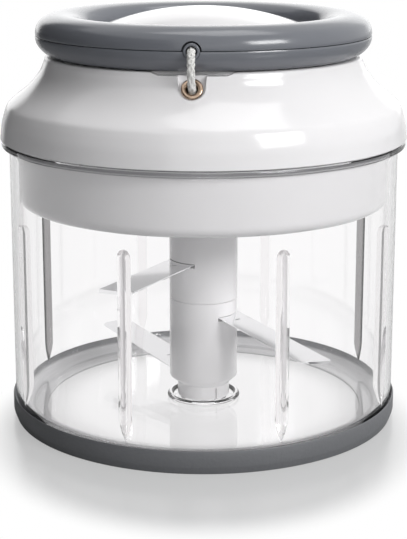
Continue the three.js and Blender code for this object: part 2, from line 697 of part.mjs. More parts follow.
// Each station on the winding is its middle, its direction and the direction away from the axis.
function windingStations() {
  const count = WIND_TURNS * WIND_STEPS;
  const slope = (windHigh - windLow) / (WIND_TURNS * FULL_TURN * windRadius);
  const stations = Array.from({ length: count + 1 }, (_, i) => {
    const angle = leaveAngle - (FULL_TURN * i) / WIND_STEPS;
    const out = new THREE.Vector3(Math.cos(angle), Math.sin(angle), 0);
    const height = windHigh - ((windHigh - windLow) * i) / count;
    return {
      middle: out.clone().multiplyScalar(windRadius).setZ(height),
      along: new THREE.Vector3(Math.sin(angle), -Math.cos(angle), -slope).normalize(),
      out,
    };
  });
  const straightOn = ({ middle, along, out }, way) => (
    { middle: middle.clone().addScaledVector(along, way * CORD_DIAMETER), along, out });
  return [straightOn(stations[0], -1), ...stations, straightOn(stations[count], 1)];
}

function leastGap(stations) {
  let least = Infinity;
  for (let i = 0; i < stations.length; i += 1) {
    for (let j = i + WIND_STEPS / 2; j < stations.length; j += 1) {
      least = Math.min(least, stations[i].middle.distanceTo(stations[j].middle) - CORD_DIAMETER);
    }
  }
  return least;
}

function cordWinding() {
  const stations = windingStations();
  console.log(`winding: ${WIND_TURNS} loops, least gap to itself ${leastGap(stations).toFixed(2)} mm`);
  const positions = [];
  for (const { middle, along, out } of stations) {
    const lift = new THREE.Vector3().crossVectors(along, out).normalize();
    for (const [x, y] of polygon(CORD_DIAMETER / 2, WIND_SIDES)) {
      positions.push(...middle.clone().addScaledVector(out, x).addScaledVector(lift, y).toArray());
    }
  }
  const indices = [];
  const last = (stations.length - 1) * WIND_SIDES;
  for (let ring = 0; ring < last; ring += WIND_SIDES) {
    for (let side = 0; side < WIND_SIDES; side += 1) {
      const a = ring + side;
      const b = ring + ((side + 1) % WIND_SIDES);
      indices.push(a, b, b + WIND_SIDES, a, b + WIND_SIDES, a + WIND_SIDES);
    }
  }
  for (let side = 1; side < WIND_SIDES - 1; side += 1) {
    indices.push(0, side + 1, side, last, last + side, last + side + 1);
  }
  const geometry = new THREE.BufferGeometry();
  geometry.setAttribute('position', new THREE.Float32BufferAttribute(positions, 3));
  geometry.setIndex(indices);
  return piece('cord_winding', solidFrom(geometry), cordFibre);
}

// Cord from the drum into the eyelet
function cordLead() {
  const start = CORD_DIAMETER + GAP;
  const clearOfFlange = Math.sqrt(drumFlange ** 2 - windRadius ** 2);
  const ahead = (distance) => leavePlace.clone().addScaledVector(leaveAhead, distance);
  const curve = new THREE.CatmullRomCurve3([
    ahead(start), ahead((start + clearOfFlange) / 2), ahead(clearOfFlange),
    leadTarget, eyeletPoint(EYELET_LENGTH), eyeletPoint(EYELET_LENGTH / 2),
    eyeletPoint(EYELET_FLANGE + 2 * GAP),
  ]);
  return piece('cord_lead', cordAlong(curve, LEAD_STEPS), cordFibre);
}

// Handle: two grey ring shells, screwed together, with the cord's grommet and knot in the front.
// Each shell's outside points are shares of the ring's width and of the shell's height.
const HANDLE_LOWER_SHARES = [[1, 1], [0.968, 0.6], [0.886, 0.335], [0.778, 0.12], [0.7, 0]];
const HANDLE_UPPER_SHARES = [
  [1, 0], [0.981, 0.35], [0.918, 0.68], [0.823, 0.83], [0.69, 0.955], [0.53, 1], [0.31, 0.97], [0.133, 0.86],
  [0.032, 0.65], [0, 0.35],
];
const lowerShellTop = handleSeam - SEAM_GAP / 2;
const upperShellBottom = handleSeam + SEAM_GAP / 2;

function handleLowerOutside() {
  const innerFillet = HANDLE_WALL / 2;
  const rise = lowerShellTop - handleBottom;
  return [
    [handleInner, lowerShellTop], [handleInner, handleBottom + innerFillet],
    [handleInner + innerFillet, handleBottom],
    ...HANDLE_LOWER_SHARES.map(([widthShare, riseShare]) => (
      [handleInner + widthShare * HANDLE_WIDTH, handleBottom + riseShare * rise])).reverse(),
  ];
}

function handleUpperOutside() {
  const rise = handleTop - upperShellBottom;
  return HANDLE_UPPER_SHARES.map(([widthShare, riseShare]) => (
    [handleInner + widthShare * HANDLE_WIDTH, upperShellBottom + riseShare * rise]))
    .concat([[handleInner, upperShellBottom]]);
}

function channel(outside) {
  const inside = inset(outside, HANDLE_WALL).reverse();
  inside[0][1] = outside[outside.length - 1][1];
  inside[inside.length - 1][1] = outside[0][1];
  return turned([...outside, ...inside]);
}

const handleMiddle = (handleOuter + handleInner) / 2;
const handleScrewBottom = handleBottom + HANDLE_BOSS_FLOOR - SCREW_HEAD_HEIGHT;
const handleScrewPlace = (angle) => [handleMiddle * Math.cos(angle), handleMiddle * Math.sin(angle), 0];
const towardsFront = (solid) => solid.rotate([90, 0, 0]).translate([0, 0, handleSeam]);
const grommetBore = EYELET_BORE;
const grommetRadius = grommetBore + GROMMET_WALL;
const grommetBack = handleOuter - HANDLE_WALL - GROMMET_SET_BACK - GROMMET_FLANGE;
const grommetFront = handleOuter + GROMMET_PROUD;

function handleShells() {
  const headTop = handleScrewBottom + SCREW_HEAD_HEIGHT;
  let lower = channel(handleLowerOutside());
  let upper = channel(handleUpperOutside());
  for (const place of around(HANDLE_SCREW_COUNT, POST_TURN_DEG, handleScrewPlace)) {
    const lowerBoss = cylinder(HANDLE_BOSS_RADIUS, handleBottom + HANDLE_WALL / 2, lowerShellTop);
    const upperBoss = cylinder(HANDLE_BOSS_RADIUS, upperShellBottom, handleTop - HANDLE_WALL / 2);
    const headRoom = cylinder(SCREW_HEAD_RADIUS + GAP, handleBottom - CUT_OVERRUN, headTop + GAP);
    const shankRoom = cylinder(SCREW_SHANK + GAP, handleBottom, headTop + HANDLE_SCREW_LENGTH + GAP);
    const room = headRoom.add(shankRoom).translate(place);
    lower = lower.add(lowerBoss.translate(place)).subtract(room);
    upper = upper.add(upperBoss.translate(place)).subtract(room);
  }
  const grommetHole = towardsFront(
    cylinder(grommetRadius + GAP, grommetBack - HANDLE_WALL, handleOuter + CUT_OVERRUN, MEDIUM_STEPS),
  );
  return [
    piece('handle_lower', lower.subtract(grommetHole), greyPlastic),
    piece('handle_upper', upper.subtract(grommetHole), greyPlastic),
  ];
}

function handleScrews() {
  return around(HANDLE_SCREW_COUNT, POST_TURN_DEG, (angle, i) => {
    const body = screw(handleScrewBottom, HANDLE_SCREW_LENGTH).translate(handleScrewPlace(angle));
    return piece(`handle_screw_${i + 1}`, body, plainSteel);
  });
}

function cordGrommet() {
  const flangeRadius = grommetRadius + GROMMET_LIP;
  const flangeFront = grommetBack + GROMMET_FLANGE;
  return piece('cord_grommet', towardsFront(turned([
    [grommetBore, grommetBack], [flangeRadius, grommetBack], [flangeRadius, flangeFront],
    [grommetRadius, flangeFront], [grommetRadius, grommetFront], [grommetBore, grommetFront],
  ], MEDIUM_STEPS)), greyPlastic);
}

// Cord outside the lid: out of the grommet, over and down into the eyelet. The bend's points are
// shares of the cord's diameter, forwards from the grommet's mouth and down from the ring's seam.
const CORD_BEND_SHARES = [[0, 0], [0.35, 0.15], [0.7, 0.55], [0.8, 1.2], [0.75, 2.2]];

function pullCord() {
  const bend = CORD_BEND_SHARES.map(([frontShare, dropShare]) => new THREE.Vector3(
    0, -grommetFront - frontShare * CORD_DIAMETER, handleSeam - dropShare * CORD_DIAMETER,
  ));
  const inside = [grommetBack, grommetFront - CORD_DIAMETER].map(
    (front) => new THREE.Vector3(0, -front, handleSeam),
  );
  const curve = new THREE.CatmullRomCurve3([
    ...inside, ...bend, eyeletPoint(-CORD_DIAMETER), eyeletPoint(-GAP), eyeletPoint(EYELET_FLANGE),
  ]);
  return piece('pull_cord', cordAlong(curve, PULL_STEPS), cordFibre);
}

// Knot that holds the cord behind the grommet's flange
function cordKnot() {
  const knot = solidFrom(new THREE.SphereGeometry(KNOT_RADIUS, KNOT_SIDES, KNOT_RINGS));
  return piece('cord_knot', knot.translate([0, KNOT_RADIUS + GAP - grommetBack, handleSeam]), cordFibre);
}

// The lid's front, with the eyelet, the cord and the handle's grommet, is turned a little to the left
const lid = new THREE.Group();
lid.rotation.z = radians(LID_TURN_DEG);
lid.add(lidShell(), mechanismHousing(), ...housingScrews(), cordEyelet(), drumAxle(), drumBush());
lid.add(driveHub(), cordDrum(), recoilSpring(), cordWinding(), cordLead());
lid.add(...handleShells(), ...handleScrews(), cordGrommet(), pullCord(), cordKnot());

const chopper = new THREE.Group();
chopper.name = 'pull_cord_food_chopper';
chopper.add(bowl(), baseRing(), pivotPin(), bladeUnit(), lid);

export default chopper;
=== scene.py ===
from math import cos, pi, radians, sin, sqrt

import bmesh
import bpy
from mathutils import Matrix, Vector


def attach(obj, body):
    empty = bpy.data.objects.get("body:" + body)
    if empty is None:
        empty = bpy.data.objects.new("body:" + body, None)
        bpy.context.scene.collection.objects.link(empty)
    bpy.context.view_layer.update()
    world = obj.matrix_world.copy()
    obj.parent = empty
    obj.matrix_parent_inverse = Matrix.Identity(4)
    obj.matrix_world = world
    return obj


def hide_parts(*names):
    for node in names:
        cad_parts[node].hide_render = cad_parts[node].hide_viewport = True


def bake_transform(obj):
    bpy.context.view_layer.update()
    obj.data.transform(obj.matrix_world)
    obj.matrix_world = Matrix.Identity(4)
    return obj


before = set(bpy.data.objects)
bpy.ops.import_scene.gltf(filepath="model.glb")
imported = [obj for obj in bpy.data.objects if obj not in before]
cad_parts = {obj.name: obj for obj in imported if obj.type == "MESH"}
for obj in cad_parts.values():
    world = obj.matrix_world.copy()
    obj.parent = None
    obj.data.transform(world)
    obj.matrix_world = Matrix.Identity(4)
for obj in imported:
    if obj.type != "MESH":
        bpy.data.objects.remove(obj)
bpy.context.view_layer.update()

# Camera: stands a little above the lid's level, half a metre in front of the chopper,
# and looks down at it with a long lens.
CAMERA_DISTANCE = 0.50183
CAMERA_HEIGHT = 0.178
CAMERA_PITCH = 13.15
LENS_SHIFT = -0.0655
NEAREST_SEEN = 0.01
FRAME_HEIGHT_PX = 539
FOCAL_PX = 1518.57
SENSOR_MM = 36.0

camera_data = bpy.data.cameras.new("camera")
camera_data.sensor_width = SENSOR_MM
camera_data.lens = FOCAL_PX / FRAME_HEIGHT_PX * SENSOR_MM
camera_data.shift_y = LENS_SHIFT
camera_data.clip_start = NEAREST_SEEN
camera = bpy.data.objects.new("camera", camera_data)
bpy.context.scene.collection.objects.link(camera)
camera.location = (0, -CAMERA_DISTANCE, CAMERA_HEIGHT)
camera.rotation_euler = (radians(90 - CAMERA_PITCH), 0, 0)
bpy.context.scene.camera = camera
bpy.context.scene.view_settings.view_transform = "Standard"

# Pull cord: a white braided cord of 2.6 mm that leaves the brass eyelet, bends in front of
# the ring handle and goes into its grommet. Eight strands are laid over and under each other.
MM = 0.001
CORD_RADIUS = 1.3
CORD_WIDTH = 2 * CORD_RADIUS
STRAND_RADIUS = 0.44
STRAND_PAIRS = 4
STRAND_TURNS = 2.6
STRAND_RIPPLE = 0.13
LID_TURN = radians(-3.7)
EYELET_TILT = radians(30)
EYELET_FRONT = 53.1
EYELET_HEIGHT = 117.5
CORD_SUNK = 1.2
MOUTH_GAP = 0.3
SEAM_HEIGHT = 128.7
GROMMET_FRONT = 55.6
GROMMET_BACK = 49.9
CORD_BEND_SHARES = [(0, 0), (0.35, 0.15), (0.7, 0.55), (0.8, 1.2), (0.75, 2.2)]
CORD_STEPS = 12


class Value:
    """A socket, whose sums and products as a number add Math nodes."""

    def __init__(self, tree, socket):
        self.tree = tree
        self.socket = socket

    def maths(self, operation, first, second):
        return self.tree.node("ShaderNodeMath", {"operation": operation}, {0: first, 1: second})

    def __add__(self, other):
        return self.maths("ADD", self, other)

    def __sub__(self, other):
        return self.maths("SUBTRACT", self, other)

    def __mul__(self, other):
        return self.maths("MULTIPLY", self, other)

    def __rsub__(self, other):
        return self.maths("SUBTRACT", other, self)

    __radd__ = __add__
    __rmul__ = __mul__

    def between(self, low, high):
        """Rises smoothly from 0 to 1 between two values."""
        settings = {"interpolation_type": "SMOOTHSTEP"}
        return self.tree.node("ShaderNodeMapRange", settings, {0: self, 1: low, 2: high})


class Tree:
    """A node tree, whose nodes are made from a type, its settings and the values of its sockets."""

    def __init__(self, owner):
        owner.use_nodes = True
        self.tree = owner.node_tree

    def node(self, kind, settings=None, inputs=None, output=0):
        made = self.tree.nodes.new(kind)
        for key, setting in (settings or {}).items():
            setattr(made, key, setting)
        for key, given in (inputs or {}).items():
            self.feed(made.inputs[key], given)
        return Value(self, made.outputs[output])

    def feed(self, socket, given):
        if isinstance(given, Value):
            self.tree.links.new(given.socket, socket)
        else:
            socket.default_value = given


class Finish(Tree):
    """A material on Blender's Principled shader."""

    def __init__(self, name):
        self.material = bpy.data.materials.new(name)
        super().__init__(self.material)
        self.shader = self.tree.nodes["Principled BSDF"]

    def set(self, **given):
        """Gives the shader's sockets their values; an underscore stands for a space."""
        for key, value in given.items():
            self.feed(self.shader.inputs[key.replace("_", " ")], value)

    def place(self, shift=(0, 0, 0), scale=(1, 1, 1)):
        """The spot on the piece, which can be stretched and then moved."""
        spot = self.node("ShaderNodeTexCoord", output="Object")
        inputs = {"Vector": spot, "Location": shift, "Scale": scale}
        return self.node("ShaderNodeMapping", {"vector_type": "POINT"}, inputs)

    def height(self):
        """The height over the table."""
        return self.node("ShaderNodeSeparateXYZ", None, {0: self.place()}, output=2)

    def reach(self, shift=(0, 0, 0), scale=(1, 1, 0)):
        """The distance from the upright axis, or from a moved and stretched one."""
        inputs = {0: self.place(shift, scale)}
        return self.node("ShaderNodeVectorMath", {"operation": "LENGTH"}, inputs, output=1)

    def noise(self, scale, detail=2.0, stretch=(1, 1, 1)):
        """A grain of values around a half, finer with a larger scale."""
        inputs = {"Vector": self.place(scale=stretch), "Scale": scale, "Detail": detail}
        return self.node("ShaderNodeTexNoise", None, inputs)

    def blend(self, mask, first, second):
        """A colour that goes from the first one, written or a socket, to the second by a mask."""
        start = first if isinstance(first, Value) else (*first, 1)
        inputs = {0: mask, 6: start, 7: (*second, 1)}
        return self.node("ShaderNodeMix", {"data_type": "RGBA"}, inputs, output=2)

    def bump(self, height, distance, strength=1.0):
        inputs = {"Height": height, "Distance": distance, "Strength": strength}
        return self.node("ShaderNodeBump", None, inputs)

    def lit(self, share, colour):
        """Mixes a plain glow of a colour over the shader by a share."""
        glow = self.node("ShaderNodeEmission", None, {"Color": (*colour, 1), "Strength": 1.0})
        inputs = {0: share, 1: Value(self, self.shader.outputs[0]), 2: glow}
        mixed = self.node("ShaderNodeMixShader", None, inputs)
        self.feed(self.tree.nodes["Material Output"].inputs["Surface"], mixed)


def lid_turned(point):
    """A point turned by the small angle at which the lid stands on the bowl."""
    return Matrix.Rotation(LID_TURN, 3, "Z") @ Vector(point)


def eyelet_point(inwards):
    """A point on the eyelet's axis, so far behind its mouth."""
    return Vector((0, -EYELET_FRONT + inwards * cos(EYELET_TILT),
                   EYELET_HEIGHT - inwards * sin(EYELET_TILT)))


def smooth_route(points, steps):
    """Points along a smooth line that passes through the given ones."""
    points = [Vector(point) for point in points]
    ends = [2 * points[0] - points[1], *points, 2 * points[-1] - points[-2]]
    route = []
    for a, b, c, d in zip(ends, ends[1:], ends[2:], ends[3:]):
        for step in range(steps):
            t = step / steps
            route.append(0.5 * (2 * b + (c - a) * t + (2 * a - 5 * b + 4 * c - d) * t * t
                                + (3 * b - a - 3 * c + d) * t ** 3))
    return route + [points[-1]]


def curve_mesh(name, routes, radius, roundness=3):
    """One object of round rods along the routes, which are in millimetres."""
    data = bpy.data.curves.new(name, "CURVE")
    data.dimensions = "3D"
    data.bevel_depth = radius * MM
    data.bevel_resolution = roundness
    data.use_fill_caps = True
    for route in routes:
        spline = data.splines.new("POLY")
        spline.points.add(len(route) - 1)
        for knot, point in zip(spline.points, route):
            knot.co = (*(Vector(point) * MM), 1)
    holder = bpy.data.objects.new(name, data)
    bpy.context.scene.collection.objects.link(holder)
    mesh = bpy.data.meshes.new_from_object(holder)
    bpy.data.objects.remove(holder)
    mesh.name = name
    piece = bpy.data.objects.new(name, mesh)
    bpy.context.scene.collection.objects.link(piece)
    mesh.shade_smooth()
    return piece


def laid_strands(route, across):
    """Strand lines that wind both ways round the route and cross over and under."""
    strands = []
    for turn in (1, -1):
        for pair in range(STRAND_PAIRS):
            phase = 2 * pi * pair / STRAND_PAIRS
            line = []
            for i, centre in enumerate(route):
                share = i / (len(route) - 1)
                ahead = (route[min(i + 1, len(route) - 1)] - route[max(i - 1, 0)]).normalized()
                lift = across.cross(ahead)
                angle = turn * (2 * pi * STRAND_TURNS * share) + phase
                crossing = STRAND_PAIRS * 2 * pi * STRAND_TURNS * share + turn * phase
                ripple = STRAND_RIPPLE * turn * cos(crossing)
                reach = CORD_RADIUS - STRAND_RADIUS - STRAND_RIPPLE + ripple
                line.append(centre + reach * (cos(angle) * across + sin(angle) * lift))
            strands.append(line)
    return strands


pull_points = [
    (0, -GROMMET_BACK, SEAM_HEIGHT), (0, CORD_WIDTH - GROMMET_FRONT, SEAM_HEIGHT),
    *((0, -GROMMET_FRONT - ahead * CORD_WIDTH, SEAM_HEIGHT - drop * CORD_WIDTH)
      for ahead, drop in CORD_BEND_SHARES),
    eyelet_point(-CORD_WIDTH), eyelet_point(-MOUTH_GAP), eyelet_point(CORD_SUNK),
]
pull_route = [lid_turned(point) for point in smooth_route(pull_points, CORD_STEPS)]
cord_across = lid_turned((1, 0, 0))
core_radius = CORD_RADIUS - 2 * STRAND_RIPPLE - STRAND_RADIUS / 2
pull_cord = curve_mesh("braided_pull_cord", laid_strands(pull_route, cord_across), STRAND_RADIUS)
cord_core = curve_mesh("pull_cord_core", [pull_route], core_radius, roundness=4)

cord_finish = Finish("white_braid")
fuzz = cord_finish.noise(2600, 3)
cord_finish.set(
    Base_Color=cord_finish.blend(fuzz.between(0.3, 0.7), (0.62, 0.61, 0.59), (0.86, 0.86, 0.84)),
    Roughness=0.75,
    Sheen_Weight=0.3,
    Normal=cord_finish.bump(fuzz, 0.0002, 0.6),
)
for cord_piece in (pull_cord, cord_core):
    cord_piece.data.materials.append(cord_finish.material)
    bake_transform(cord_piece)
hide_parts("pull_cord")

# Clear bowl: injection-moulded clear plastic, a straight cup with a rim flange, eight upright
# ribs inside that turn the food over, and a raised ring on the floor round the pivot pin.
BOWL_RADIUS = 64.5
BOWL_INNER = 62.1
BOWL_TOP = 94.8
BOWL_CORNER = 6.5
RIM_RADIUS = 67.0
RIM_UNDER = 92.9
RIM_FILLET = 1.2
RIM_EDGE = 0.3
MOUTH_EDGE = 0.4
FLOOR_UNDER = 1.3
FLOOR_TOP = 4.3
FLOOR_FILLET = 5.0
FLOOR_RING = 11.4
FLOOR_RING_RADIUS = 1.1
PAD_UNDER = 0.4
PIN_HOLE = 2.8
PIN_HOLE_BOTTOM = 1.4
FINE_STEPS = 160
RIB_COUNT = 8
RIB_SECTION = [
    (-2.3, 0), (-1.75, -0.7), (-1.1, -1.6), (-0.55, -2.1), (0, -2.3),
    (0.55, -2.1), (1.1, -1.6), (1.75, -0.7), (2.3, 0), (2.3, 1.2), (-2.3, 1.2),
]
RIB_STATIONS = [
    (8.0, 0.04), (9.4, 0.28), (11.2, 0.55), (13.2, 0.82), (15.2, 1.0),
    (66.9, 1.0), (68.2, 0.86), (69.1, 0.6), (69.5, 0.2),
]
RIM_PAINTED_SHADE_HEIGHT = (0.0927, 0.0931)
RIB_PAINTED_GLOW_REACH = (0.0612, 0.0619)
RIB_PAINTED_GLOW_FOOT = (0.0095, 0.0115)
RIB_PAINTED_GLOW = 0.36


def fillet(centre_r, centre_z, radius, start, end, steps=8):
    """Points along an arc from one angle to another."""
    spread = [radians(start + (end - start) * i / steps) for i in range(steps + 1)]
    return [(centre_r + radius * cos(a), centre_z + radius * sin(a)) for a in spread]


def turned(outline, steps=FINE_STEPS, closed=True):
    """A bmesh of an outline of (radius, height) points spun round the upright axis."""
    shell = bmesh.new()
    knots = [shell.verts.new((radius, 0, height)) for radius, height in outline]
    for a, b in zip(knots, knots[1:] + (knots[:1] if closed else [])):
        shell.edges.new((a, b))
    bmesh.ops.spin(shell, geom=shell.verts[:] + shell.edges[:], axis=(0, 0, 1), cent=(0, 0, 0),
                   angle=2 * pi, steps=steps, use_merge=True)
    bmesh.ops.remove_doubles(shell, verts=shell.verts, dist=0.0005)
    bmesh.ops.recalc_face_normals(shell, faces=shell.faces)
    return shell


def lofted(sections):
    """A closed bmesh whose skin bridges a row of outlines."""
    shell = bmesh.new()
    rings = []
    for section in sections:
        knots = [shell.verts.new(point) for point in section]
        rings.append([shell.edges.new(pair) for pair in zip(knots, knots[1:] + knots[:1])])
    for low, high in zip(rings, rings[1:]):
        bmesh.ops.bridge_loops(shell, edges=low + high)
    bmesh.ops.holes_fill(shell, edges=rings[0] + rings[-1], sides=0)
    bmesh.ops.recalc_face_normals(shell, faces=shell.faces)
    return shell


def made_piece(name, shell, crease=35.0):
    """An object from a bmesh in millimetres, smooth but for edges sharper than the crease."""
    bmesh.ops.scale(shell, vec=(MM, MM, MM), verts=shell.verts)
    mesh = bpy.data.meshes.new(name)
    shell.to_mesh(mesh)
    shell.free()
    mesh.shade_smooth()
    mesh.set_sharp_from_angle(angle=radians(crease))
    piece = bpy.data.objects.new(name, mesh)
    bpy.context.scene.collection.objects.link(piece)
    return piece


def placed(shell, place):
    """The bmesh, moved and turned to its place."""
    bmesh.ops.transform(shell, matrix=place, verts=shell.verts)
    return shell


def gathered(shells):
    """One object from several bmeshes."""
    whole = bmesh.new()
    for shell in shells:
        spare = bpy.data.meshes.new("spare")
        shell.to_mesh(spare)
        shell.free()
        whole.from_mesh(spare)
        bpy.data.meshes.remove(spare)
    return made_piece("gathered", whole)


def joined(piece, cutter, operation, crease):
    """Adds the cutter's solid to the piece or takes it away, and removes the cutter."""
    change = piece.modifiers.new("join", "BOOLEAN")
    change.operation = operation
    change.solver = "EXACT"
    change.object = cutter
    bpy.context.view_layer.update()
    shaped = piece.evaluated_get(bpy.context.evaluated_depsgraph_get())
    mesh = bpy.data.meshes.new_from_object(shaped)
    piece.modifiers.clear()
    piece.data = mesh
    bpy.data.objects.remove(cutter)
    mesh.shade_smooth()
    mesh.set_sharp_from_angle(angle=radians(crease))


def finished(piece, finish, body, node):
    """Gives a piece its finish and body, and puts it in the place of a node of the frame."""
    piece.data.materials.clear()
    piece.data.materials.append(finish.material)
    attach(piece, body)
    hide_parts(node)


bowl_outline = [
    (0, PAD_UNDER), (6.6, PAD_UNDER), (7.0, PAD_UNDER + 0.1), (7.9, FLOOR_UNDER),
    *fillet(BOWL_RADIUS - BOWL_CORNER, FLOOR_UNDER + BOWL_CORNER, BOWL_CORNER, -90, 0),
    (BOWL_RADIUS, RIM_UNDER - 2 * RIM_FILLET),
    *fillet(BOWL_RADIUS + RIM_FILLET, RIM_UNDER - RIM_FILLET, RIM_FILLET, 180, 90, 5)[:-1],
    (RIM_RADIUS - RIM_EDGE, RIM_UNDER), (RIM_RADIUS, RIM_UNDER + RIM_EDGE),
    (RIM_RADIUS, BOWL_TOP - RIM_EDGE), (RIM_RADIUS - RIM_EDGE, BOWL_TOP),
    (BOWL_INNER + MOUTH_EDGE, BOWL_TOP), (BOWL_INNER, BOWL_TOP - MOUTH_EDGE),
    *fillet(BOWL_INNER - FLOOR_FILLET, FLOOR_TOP + FLOOR_FILLET, FLOOR_FILLET, 0, -90),
    *fillet(FLOOR_RING, FLOOR_TOP, FLOOR_RING_RADIUS, 0, 180, 10),
    (PIN_HOLE, FLOOR_TOP), (PIN_HOLE, PIN_HOLE_BOTTOM), (0, PIN_HOLE_BOTTOM),
]
bowl = made_piece("clear_bowl", turned(bowl_outline, closed=False))
rib_sections = [
    [(BOWL_INNER + depth * size, width * size, height) for width, depth in RIB_SECTION]
    for height, size in RIB_STATIONS
]
rib_turns = [Matrix.Rotation(2 * pi * (index + 0.5) / RIB_COUNT, 4, "Z")
             for index in range(RIB_COUNT)]
joined(bowl, gathered([placed(lofted(rib_sections), turn) for turn in rib_turns]), "UNION", 30)

clear_finish = Finish("clear_plastic")
# Painted shade: the clear plastic turns grey above 92.7 mm, so the rim flange shows a dark band
# under the lid's skirt.
rim_painted_shade = clear_finish.height().between(*RIM_PAINTED_SHADE_HEIGHT)
# Painted light: the ribs glow pale grey by themselves, lighter than the clear plastic would show
# them.
rib_painted_glow = ((1 - clear_finish.reach().between(*RIB_PAINTED_GLOW_REACH))
          * clear_finish.height().between(*RIB_PAINTED_GLOW_FOOT))
clear_finish.set(
    Base_Color=clear_finish.blend(rim_painted_shade, (0.99, 0.986, 0.989), (0.55, 0.55, 0.56)),
    Roughness=clear_finish.noise(60, 3) * 0.02,
    Transmission_Weight=1.0,
    IOR=1.5,
)
# The ribs' painted glow is mixed over the clear plastic.
clear_finish.lit(rib_painted_glow * RIB_PAINTED_GLOW, (0.82, 0.79, 0.8))
finished(bowl, clear_finish, "bowl", "bowl")
bowl.visible_shadow = False
bowl.visible_diffuse = False

# Base ring: moulded from grey soft plastic and pressed over the bowl's foot, with a bevelled
# lower edge. The face that the bowl's corner sits in is painted pale, as painted light seen through
# the bowl.
BASE_RADIUS = 65.4
BASE_INNER = 54.0
BASE_TOP = 7.7
BASE_SEAT_GAP = 0.3
INNER_FACE_REACH = (0.0644, 0.0646)
INNER_FACE_FOOT = (0.0004, 0.0007)
INNER_FACE_TOP = (0.0042, 0.0058)
base_outline = [
    (BASE_INNER, 0.15), (BASE_INNER + 0.15, 0), (64.2, 0), (64.5, 0.15), (65.3, 2.3),
    (BASE_RADIUS, 2.7), (BASE_RADIUS, BASE_TOP - 0.6), (BASE_RADIUS - 0.2, BASE_TOP - 0.1),
    (BASE_RADIUS - 0.4, BASE_TOP), (64.85, BASE_TOP - 0.2),
    *fillet(BOWL_RADIUS - BOWL_CORNER, FLOOR_UNDER + BOWL_CORNER, BOWL_CORNER + BASE_SEAT_GAP,
            -8, -90),
    (BASE_INNER + 0.15, 1.0), (BASE_INNER, 0.85),
]
base_ring = made_piece("base_ring_soft", turned(base_outline), 30)
rubber_finish = Finish("grey_soft_plastic")
speck = rubber_finish.noise(900, 4)
# Painted light: the inner face under the bowl's corner is coloured pale grey, for the light it
# shows through the clear bowl.
inner_face_painted_light = ((1 - rubber_finish.reach().between(*INNER_FACE_REACH))
              * (1 - rubber_finish.height().between(*INNER_FACE_TOP))
              * rubber_finish.height().between(*INNER_FACE_FOOT))
rubber_grey = rubber_finish.blend(speck, (0.135, 0.139, 0.148), (0.16, 0.164, 0.173))
rubber_finish.set(
    Base_Color=rubber_finish.blend(inner_face_painted_light, rubber_grey, (0.62, 0.62, 0.63)),
    Roughness=speck * 0.12 + 0.36,
    Normal=rubber_finish.bump(speck, 0.00008),
)
finished(base_ring, rubber_finish, "bowl", "base_ring")

# Lid shell: one glossy white moulding with a straight skirt, a flared neck, a flat seat for
# the ring handle and a shallow dome; its neck has a pocket for the eyelet and a finger notch.
SKIRT_RADIUS = 67.35
SKIRT_BOTTOM = 95.1
SEAT_HEIGHT = 121.9
NECK_RADIUS = 52.3
NECK_FILLET = 0.8
DOME_RADIUS = 36.8
DOME_TOP = 137.55
DOME_SPHERE = 93.0
DOME_FILLET = 2.0
DOME_FOOT = 0.8
CROWN_STEPS = 14
LID_WALL = 2.2
SHOULDER_SHARES = [
    (0, 0.01), (0.02, 0.1), (0.043, 0.2), (0.09, 0.3), (0.125, 0.36), (0.175, 0.42),
    (0.295, 0.48), (0.43, 0.54), (0.56, 0.6), (0.69, 0.67), (0.81, 0.75), (0.905, 0.83),
    (0.955, 0.9), (0.995, 0.955),
]
LID_INSIDE = [
    (20, 133.1), (33.6, 128.7), (34.6, 127.6), (34.6, 119.7), (50.1, 119.7), (50.3, 118.6),
    (51.4, 116.6), (53.4, 113.9), (57.4, 109.5), (61.7, 106.2), (63.9, 103.0), (64.8, 99.0),
    (65.3, SKIRT_BOTTOM),
]
EYELET_FRAME = (Matrix.Rotation(LID_TURN, 4, "Z")
                @ Matrix.Translation((0, -EYELET_FRONT, EYELET_HEIGHT))
                @ Matrix.Rotation(pi / 2 - EYELET_TILT, 4, "X"))
BOSS_RADIUS = 4.9
BOSS_FLAT = 3.2
BOSS_SPAN = (-7.0, -0.9)
POCKET_RADIUS = 4.15
POCKET_MOUTH = 4.7
POCKET_RISE = 9
POCKET_SPAN = (-1.2, 8)
TUBE_HOLE = 2.6
TUBE_HOLE_SPAN = (-9, 4)
NOTCH_TOP = 26.0
NOTCH_FLOOR = 21.0
NOTCH_DEPTH = 0.9
NOTCH_SPAN = (47.3, 54)


def soft_line(points, steps=3):
    """A smooth line through points of (radius, height)."""
    return [(point.x, point.z) for point in smooth_route([(r, 0, z) for r, z in points], steps)]


def prism(outline, low, high, place=Matrix.Identity(4)):
    """An outline of (x, y) points pulled up from one height to another, and put in its place."""
    return placed(lofted([[(x, y, height) for x, y in outline] for height in (low, high)]), place)


def circle(radius, corners=24):
    """The corners of a round outline."""
    return fillet(0, 0, radius, 0, 360 - 360 / corners, corners - 1)


